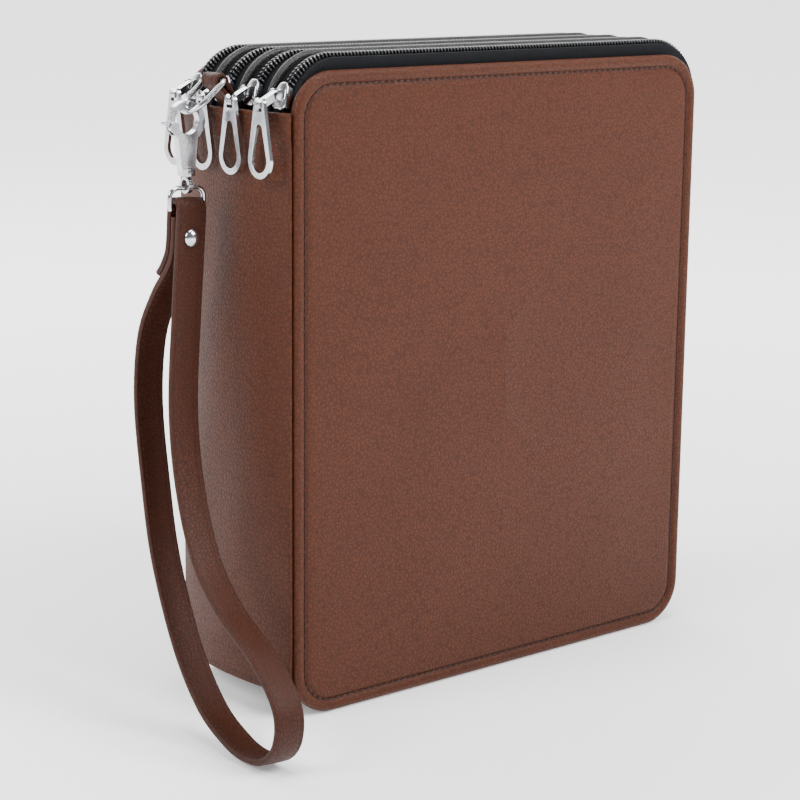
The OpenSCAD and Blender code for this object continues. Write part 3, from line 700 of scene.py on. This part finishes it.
for k, name in enumerate(leaf_names):
    y = leaf_y[k]
    half = leaf_t / 2
    flat_band(name + "_bead", bead + [y, 0], 0, zip_end, piping, "piping", body=name, nodes=(name + "_piping",))
    near = [(99.0, -1.0), (60, -1.0), (20, -1.0), (6, -1.0), (3, -0.96), (1.2, -0.78), (0.4, -0.45)]
    profile = near + [(0.1, 0)] + [(inset, -t) for inset, t in near[::-1]]
    rim = 0.9 * MM
    board = board_shell(path_x0 + rim, path_x1 - rim, path_z0 + rim, path_z1 - rim, path_r - rim,
                        [(i * MM, y + half * t) for i, t in profile])
    x_root = -np.sqrt(spine_r ** 2 - y ** 2) + spine_crest + spine_r + spine_t + 0.5 * MM
    x_way, x_share = edged(x_root, path_x0 + 5 * MM, 5, 0.4 * MM)
    z_way, z_share = edged(tongue_low, tongue_top, 30, 0.4 * MM)
    zz, xx = np.meshgrid(z_way, x_way, indexing="ij")
    thick = 0.85 * half * np.minimum(z_share[:, None], x_share[None])
    tongue = sewn(np.stack([xx, y - thick, zz], -1), np.stack([xx, y + thick, zz], -1))
    dress(name + "_cloth_board", [board, tongue], leaf_cloth, "lining", body=name,
          nodes=(name + "_panel", name + "_tapes", name + "_teeth"))

    strips, laid = [], []
    x_ends = (path_x0 + 16 * MM, path_x1 - 16 * MM)
    loops = 15
    for z_low in (0.28 * case_h, 0.66 * case_h):
        x_way = np.linspace(*x_ends, loops * 8 + 1)
        z_way, z_share = edged(z_low, z_low + 24 * MM, 8, 0.3 * MM)
        arch = np.abs(np.sin((x_way - x_ends[0]) / (x_ends[1] - x_ends[0]) * loops * np.pi)) ** 0.7
        arch[[0, -1]] = 0
        zz, xx = np.meshgrid(z_way, x_way, indexing="ij")
        face = y - half - (0.12 + 1.0 * arch[None]) * MM * np.ones_like(zz)
        skin_t = 0.5 * MM * z_share[:, None] * np.where((np.arange(len(x_way)) % (len(x_way) - 1)) > 0, 1, 0)[None]
        strips.append(sewn(np.stack([xx, face - skin_t / 2, zz], -1), np.stack([xx, face + skin_t / 2, zz], -1)))
        flat = np.stack([xx, zz, np.zeros_like(xx)], -1)
        laid.append(np.concatenate([flat.reshape(-1, 3), flat[1:-1, 1:-1].reshape(-1, 3)]))
    dress(name + "_elastic_loops", strips, elastic, "elastic", body=name, nodes=(name + "_elastic",), laid=laid)

# ---- Sliders, links, pulls and the snap hook's parts ----
# Cast in zinc and plated bright: edges are softened, and the plating shows faint wear.
plated = Finish("plated_metal", Metallic=1.0, Specular_IOR_Level=0.6)
smudge = plated.noise(plated.place(), 190.0, 3.0)
plated.give(Base_Color=plated.mixed(smudge, (0.40, 0.41, 0.43, 1), (0.68, 0.68, 0.70, 1)),
            Roughness=smudge * 0.14 + 0.10)
plated.bumped(plated.noise(plated.place(), 420.0, 2.0), 0.05 * MM)


def cast(node, body, soft):
    """A smooth casting from a CAD part: its flat faces are made whole again and its edges rounded."""
    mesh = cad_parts[node].data.copy()
    shape = bmesh.new()
    shape.from_mesh(mesh)
    bmesh.ops.remove_doubles(shape, verts=shape.verts, dist=2e-6)
    bmesh.ops.dissolve_limit(shape, angle_limit=math.radians(1.0), verts=shape.verts, edges=shape.edges)
    shape.to_mesh(mesh)
    shape.free()
    mesh.name = node + "_plated"
    mesh.materials.clear()
    mesh.materials.append(plated.material)
    mesh.polygons.foreach_set("use_smooth", np.ones(len(mesh.polygons), bool))
    mesh.set_sharp_from_angle(angle=math.radians(50))
    made = bpy.data.objects.new(mesh.name, mesh)
    bpy.context.scene.collection.objects.link(made)
    rounding = made.modifiers.new("soft_edges", "BEVEL")
    rounding.width, rounding.segments = soft, 3
    rounding.limit_method, rounding.angle_limit = "ANGLE", math.radians(35)
    rounding.harden_normals = True
    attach(made, body)
    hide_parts(node)
    return made


turn_x, turn_z = path_x0 + path_r, path_z1 - path_r
slider_w, slider_middle = 7.2 * MM, math.radians(162)


def narrowed(u):
    """The share of a slider's width left at u along it: full for nearly half its length, then tapering."""
    return 1 - 0.42 * np.clip((u - 0.45) / 0.55, 0, 1) ** 1.5


def slider_plate(middle, r0, r1, half_arc, width, nose):
    """A slider's plate, bent round the chain's corner: a pointed leaf in plan, widest near its open end, between two
    radii, with a domed face where nose is above 0."""
    u = np.linspace(0, 1, 30)
    plan = np.sqrt(np.clip(1 - (2 * u - 1) ** 8, 0, 1)) * narrowed(u)
    v, share = edged(-1, 1, 12, 0.22)
    angle = slider_middle + np.radians(half_arc) * (1 - 2 * u)
    half_w = width / 2 * plan
    end = np.clip(np.minimum(u, 1 - u) / 0.07, 0, 1)
    end = np.sqrt(1 - (1 - end) ** 2)
    thick = share[None] * end[:, None]
    rise = nose * (1 - v[None] ** 2) * np.sin(np.pi * u[:, None])
    middle_r = (r0 + r1) / 2

    def face(which):
        """The outer side for 1, the inner for -1: a radius about the corner's centre, half the thickness away."""
        r = middle_r + which * (r1 - r0) / 2 * thick + (rise if which > 0 else 0)
        return np.stack(np.broadcast_arrays(turn_x + r * np.cos(angle)[:, None], middle + half_w[:, None] * v[None],
                                            turn_z + r * np.sin(angle)[:, None]), -1)

    return sewn(face(1), face(-1))


def slider_shells(middle):
    """Two plates and two side walls over the coil; the crown that holds the link's pin is made apart."""
    far = path_r * 1e3
    top_in, top_out = (far + 1.8) * MM, (far + 3.0) * MM
    low_out, low_in = (far - 1.4) * MM, (far - 2.6) * MM
    shells = [
        slider_plate(middle, top_in, top_out, 13, slider_w, 0.35 * MM),
        slider_plate(middle, low_in, low_out, 13, slider_w, 0),
    ]
    for side in (-1, 1):
        u = np.linspace(0, 1, 20)
        angle = slider_middle + np.radians(10.5) * (1 - 2 * u)
        wall_y = middle + side * (slider_w / 2 * narrowed(u) - 0.5 * MM)
        ring = np.array([[-0.35, 0], [-0.3, 1.2], [0, 1.9], [0.35, 1.8], [0.4, 0.6], [0.35, -0.05]]) * MM
        r = (far - 0.15) * MM + ring[:, 1]
        shells.append(tube(np.stack([turn_x + r[None] * np.cos(angle)[:, None],
                                     wall_y[:, None] + side * ring[None, :, 0],
                                     turn_z + r[None] * np.sin(angle)[:, None]], -1)))
    return shells


link_high = np.array([-101.944, 227.117]) * MM


def crown_shell(middle, side):
    """One cheek of the crown: an upright half-round plate beside the link, standing on the top plate."""
    out = np.array([math.cos(slider_middle), math.sin(slider_middle)])
    along = np.array([-out[1], out[0]])
    turn = np.linspace(0, np.pi, 18)
    shape = np.concatenate([[[2.15, -1.9]], np.stack([2.0 * np.cos(turn), 1.35 * np.sin(turn)], -1),
                            [[-2.15, -1.9]]]) * MM
    rings = []
    for depth, shrink in ((0.0, 0.75), (0.12, 0.95), (0.4, 1.0), (0.68, 0.95), (0.8, 0.75)):
        flat = link_high + shape[:, :1] * shrink * along + shape[:, 1:] * np.where(shape[:, 1:] > 0, shrink, 1) * out
        y = middle + side * (1.75 + depth) * MM
        rings.append(np.stack([flat[:, 0], np.full(len(flat), y), flat[:, 1]], -1))
    return tube(np.array(rings))


def pin_shell(middle, at, half, r=0.6 * MM):
    """A short round pin across the depth."""
    turn = np.linspace(0, 2 * np.pi, 13)[:-1]
    depth, share = edged(-half, half, 3, 0.15 * MM)
    size = r - 0.15 * MM * (1 - share)
    return tube(np.stack(np.broadcast_arrays(at[0] + size[:, None] * np.cos(turn), middle + depth[:, None],
                                             at[1] + size[:, None] * np.sin(turn)), -1))


for n, middle in enumerate(zip_y, 1):
    shells = slider_shells(middle) + [crown_shell(middle, side)
                                      for side in (-1, 1)] + [pin_shell(middle, link_high, 2.3 * MM)]
    dress(f"slider_{n}_body", shells, plated, "hardware", body=f"slider_{n}", nodes=(f"slider_{n}",))
    cast(f"link_{n}", f"link_{n}", 0.3 * MM)
    cast(f"pull_{n}", f"pull_{n}", 0.25 * MM)
cast("snap_hook", "snap_hook", 0.25 * MM)
cast("gate_pin", "snap_hook", 0.1 * MM)
cast("hook_gate", "hook_gate", 0.15 * MM)
cast("swivel_eye", "swivel_eye", 0.2 * MM)


def wire_loop(points, thick, sides=16):
    """A round wire bent to a closed flat loop of points."""
    before, after = np.roll(points, 1, 0), np.roll(points, -1, 0)
    way = after - before
    way /= np.linalg.norm(way, axis=1, keepdims=True)
    flat = np.cross(points[0] - points.mean(0), way[0])
    flat /= np.linalg.norm(flat)
    side = np.cross(way, flat)
    turn = np.linspace(0, 2 * np.pi, sides + 1)[:-1]
    return tube(points[:, None] + thick
                * (side[:, None] * np.cos(turn)[None, :, None] + flat * np.sin(turn)[None, :, None]), closed=True)


# ---- Tab and its ring ----
# A strip of the same leather, stitched along both edges, holds a D-shaped ring at the top of the spine.
tab_w = zip_pitch - slider_w - 1.1 * MM
tab_bar = np.array([-109.5, 230.5]) * MM
tab_ring_r, tab_ring_len, tab_ring_lean = 1.0 * MM, 16 * MM, math.radians(50)
# The second colour is painted shade for the hollows between the strap leather's pebbles.
strap_leather = leather("strap_leather", (0.050, 0.0105, 0.0025, 1), (0.013, 0.0024, 0.0006, 1), laid=True,
                        pebble=680.0, depth=0.15)
ring_half = tab_w / 2 + 0.3 * MM + tab_ring_r
leg = tab_ring_len - ring_half
bow = np.linspace(np.pi, 2 * np.pi, 40)
d_shape = np.concatenate([
    np.stack([ring_half * np.cos(bow), -leg + ring_half * np.sin(bow)], -1),
    np.stack([np.full(12, ring_half), np.linspace(-leg, -0.5 * MM, 13)[1:]], -1),
    np.stack([np.linspace(ring_half - 0.4 * MM, -ring_half + 0.4 * MM, 30), np.full(30, 0.0)], -1),
    np.stack([np.full(12, -ring_half), np.linspace(-0.5 * MM, -leg, 13)[:-1]], -1),
])
lean_way = np.array([-math.sin(tab_ring_lean), 0, -math.cos(tab_ring_lean)])
ring_points = np.array([tab_bar[0], 0, tab_bar[1]]) + d_shape[:, :1] * np.array([0, 1.0, 0]) - d_shape[:, 1:] * lean_way
dress("tab_d_ring", [wire_loop(ring_points, tab_ring_r)], plated, "hardware", body="tab_ring", nodes=("tab_ring",))

loop_r, tab_root = tab_ring_r + 0.3 * MM, np.array([-102.6, 222.0]) * MM
rise = tab_bar - tab_root
rise_len = np.linalg.norm(rise)
rise /= rise_len
beside = np.array([-rise[1], rise[0]])
over_bar = np.linspace(np.pi / 2, -np.pi / 2, 22)
mid_r = loop_r + 0.8 * MM
tab_line = np.concatenate([
    np.stack([np.full(8, tab_root[0] - 0.8 * MM), np.linspace(211.5, 221.0, 8) * MM], -1),
    tab_root + beside * 0.85 * MM + rise * 1.2 * MM + np.linspace(0, 1, 4)[:, None]
    * (rise * (rise_len - 4.0 * MM) + beside * (mid_r - 1.6 * MM)),
    tab_bar + mid_r * (beside * np.sin(over_bar)[:, None] + rise * np.cos(over_bar)[:, None]),
    tab_root - beside * 0.85 * MM + rise * 1.2 * MM + np.linspace(1, 0, 4)[:, None]
    * (rise * (rise_len - 4.0 * MM) - beside * (mid_r - 1.6 * MM)),
    np.stack([np.full(8, tab_root[0] + 0.8 * MM), np.linspace(221.0, 211.5, 8) * MM], -1),
])


def ribbon(line, away, width, thick, across_way, crown=0.12 * MM, edge=0.7 * MM):
    """A leather strip: a rounded flat section carried along a line of points, away being the line's own direction out
    of its face. Returns the shell and where its points lie on the flat strip."""
    w, share = edged(-width / 2, width / 2, 13, edge)
    groove = 0.22 * MM * np.exp(-((np.abs(w) - (width / 2 - 1.7 * MM)) / (0.45 * MM)) ** 2)
    fat = thick / 2 * share + crown * np.cos(w / width * np.pi) * share - groove
    fat = np.where(share > 0, np.maximum(fat, 0), 0)
    loop_w = np.concatenate([w, w[-2:0:-1]])
    loop_t = np.concatenate([fat, -fat[-2:0:-1]])
    rings = line[:, None] + across_way * loop_w[None, :, None] + away[:, None] * loop_t[None, :, None]
    far = np.concatenate([[0], np.cumsum(np.linalg.norm(np.diff(line, axis=0), axis=1))])
    flat = np.stack(np.broadcast_arrays(loop_w[None], far[:, None], np.sign(loop_t)[None] * 0.05), -1).reshape(-1, 3)
    flat = np.concatenate([flat, flat[:1], flat[-1:]])
    return tube(rings), flat


def turned(line, across_way):
    """The direction out of a strip's face at each point of its line."""
    way = np.gradient(line, axis=0)
    out = np.cross(way, across_way)
    return out / np.linalg.norm(out, axis=1, keepdims=True)


def smoothed(line, count):
    """The same line with evenly spaced points, corners eased by averaging neighbours."""
    far = np.concatenate([[0], np.cumsum(np.linalg.norm(np.diff(line, axis=0), axis=1))])
    even = np.linspace(0, far[-1], count)
    line = np.stack([np.interp(even, far, line[:, k]) for k in range(line.shape[1])], -1)
    for _ in range(3):
        line[1:-1] = (line[:-2] + 2 * line[1:-1] + line[2:]) / 4
    return line


tab_line = smoothed(tab_line, 90)
tab_points = np.stack([tab_line[:, 0], np.zeros(90), tab_line[:, 1]], -1)
depth_way = np.array([0, 1.0, 0])
tab_out = turned(tab_points, depth_way)
shell, flat = ribbon(tab_points, tab_out, tab_w, 1.55 * MM, depth_way, crown=0.05 * MM, edge=0.5 * MM)
dress("tab_strip", [shell], strap_leather, "strap_leather", body="leaf_2", nodes=("strap_tab",), laid=[flat])
rows = []
for side in (-1, 1):
    row = tab_points[2:-2] + depth_way * side * (tab_w / 2 - 1.5 * MM)
    for face in (-1, 1):
        rows += stitches(row + tab_out[2:-2] * face * 0.68 * MM, tab_out[2:-2] * face, 2.4 * MM, 1.8 * MM, 0.45 * MM)
dress("tab_stitches", rows, thread, "thread", body="leaf_2")

# ---- Wrist strap ----
# One leather strip, edges turned in and stitched, whose two ends are riveted under the fold round
# the strap's ring. The ring is bent wire and the rivet is domed.
hook_x, strap_bar_z, strap_w, strap_t, strap_lean = -121.757 * MM, 186.115 * MM, 12 * MM, 2.4 * MM, math.radians(4)
strap_ring_r, strap_ring_h, strap_ring_half, strap_ring_corner = 0.85 * MM, 7.4 * MM, 7.15 * MM, 3.4 * MM
layer = 2.9
strap_route = np.array([
    [0, -3], [0, -14], [2.5, -21], [11, -32], [18.5, -48], [19, -72], [12, -101], [3, -128],
    [-13, -156], [-30, -174], [-46, -182], [-58, -184.2], [-69, -182], [-75.5, -174],
    [-74, -162], [-60, -149], [-38, -137], [-22, -122], [-10, -98], [-3.5, -70], [-2.8, -35],
    [-layer, -10], [-layer, -2]])
tail_route = np.array([[layer, -2], [layer, -14], [layer + 2.4, -20], [layer + 5.5, -24]])


def smooth_curve(knots, steps):
    """A curve through every knot whose direction at a knot is that between its two neighbours."""
    held = np.concatenate([knots[:1], knots, knots[-1:]])
    t = (np.arange(steps) / steps)[None, :, None]
    a, b, c, d = (held[k:len(held) - 3 + k, None] for k in range(4))
    curve = 0.5 * (2 * b + (c - a) * t + (2 * a - 5 * b + 4 * c - d) * t ** 2 + (3 * b - a - 3 * c + d) * t ** 3)
    return np.concatenate([curve.reshape(-1, 2), knots[-1:]])


fold_turn = np.radians(np.linspace(172, 8, 16))
strap_line = np.concatenate([
    smooth_curve(strap_route, 10),
    layer * np.stack([np.cos(fold_turn), np.sin(fold_turn)], -1),
    smooth_curve(tail_route, 6),
]) * MM


def on_bar(points):
    """From the strap's own frame, whose origin is the ring's bar, to the case's: it leans out about the depth axis."""
    x, y, z = np.moveaxis(points, -1, 0)
    c, s = math.cos(strap_lean), math.sin(strap_lean)
    return np.stack([x * c + z * s + hook_x, y, -x * s + z * c + strap_bar_z], -1)


width_way = np.array([math.cos(strap_lean), 0, -math.sin(strap_lean)])
strap_points = on_bar(np.stack([np.zeros(len(strap_line)), strap_line[:, 0], strap_line[:, 1]], -1))
strap_out = turned(strap_points, width_way)
shell, flat = ribbon(strap_points, strap_out, strap_w, strap_t, width_way)
dress("strap_strip", [shell], strap_leather, "strap_leather", body="strap", nodes=("strap",), laid=[flat])
rows = []
for side in (-1, 1):
    row = strap_points[1:-1] + width_way * side * (strap_w / 2 - 1.7 * MM)
    for face in (-1, 1):
        rows += stitches(row + strap_out[1:-1] * face * 1.03 * MM, strap_out[1:-1] * face, 2.5 * MM, 1.95 * MM,
                         0.48 * MM)
dress("strap_stitches", rows, thread, "thread", body="strap")

corner_turn = np.linspace(0, np.pi / 2, 12)
c = strap_ring_corner
quarter = np.stack([strap_ring_half - c + c * np.cos(corner_turn), strap_ring_h - c + c * np.sin(corner_turn)], -1)
low_turn = np.linspace(-np.pi / 2, 0, 6)
low = np.stack([strap_ring_half - 0.6 * MM + 0.6 * MM * np.cos(low_turn), 0.6 * MM + 0.6 * MM * np.sin(low_turn)], -1)
flat_loop = np.concatenate([
    low, np.stack([np.full(6, strap_ring_half), np.linspace(0.6 * MM, strap_ring_h - c, 8)[1:-1]], -1), quarter,
    np.stack([np.linspace(strap_ring_half - c, -strap_ring_half + c, 14)[1:-1], np.full(12, strap_ring_h)], -1),
    quarter[::-1] * [-1, 1], np.stack([np.full(6, -strap_ring_half), np.linspace(strap_ring_h - c, 0.6 * MM, 8)[1:-1]],
                                      -1),
    low[::-1] * [-1, 1], np.stack([np.linspace(-strap_ring_half + 0.6 * MM, strap_ring_half - 0.6 * MM, 22)[1:-1],
                                   np.zeros(20)], -1),
])
wire = np.stack([hook_x + flat_loop[:, 0], np.zeros(len(flat_loop)), strap_bar_z + flat_loop[:, 1]], -1)
dress("strap_wire_ring", [wire_loop(wire, strap_ring_r)], plated, "hardware", body="strap_ring", nodes=("strap_ring",))


def turned_part(profile, middle, sides=40):
    """A part turned on a lathe whose axis is the depth: profile gives pairs of (radius, depth)."""
    turn = np.linspace(0, 2 * np.pi, sides + 1)[:-1]
    rings = np.stack([
        profile[:, :1] * np.cos(turn), np.broadcast_to(profile[:, 1:], (len(profile), sides)),
        profile[:, :1] * np.sin(turn)], -1)
    return tube(on_bar(rings + middle))


stack = 1.5 * layer * MM + 0.1 * MM
dome = np.array([[0.1, -1.72], [0.9, -1.66], [1.7, -1.46], [2.4, -1.12], [2.95, -0.72], [3.25, -0.35], [3.3, -0.1],
                 [3.2, 0.02], [2.6, 0.05], [1.5, 0.1]]) * MM
foot = np.array([[1.5, -0.1], [2.6, -0.05], [3.1, 0.05], [3.3, 0.3], [3.25, 0.6], [2.9, 0.88], [2.2, 1.02],
                 [1.2, 1.08], [0.1, 1.1]]) * MM
front_cap, rear_cap = dome - [0, stack], foot + [0, stack]
shank = np.concatenate([front_cap, rear_cap])
dress("dome_rivet", [turned_part(shank, np.array([0, 0, -10 * MM]))], plated, "hardware", body="strap",
      nodes=("strap_rivet",))
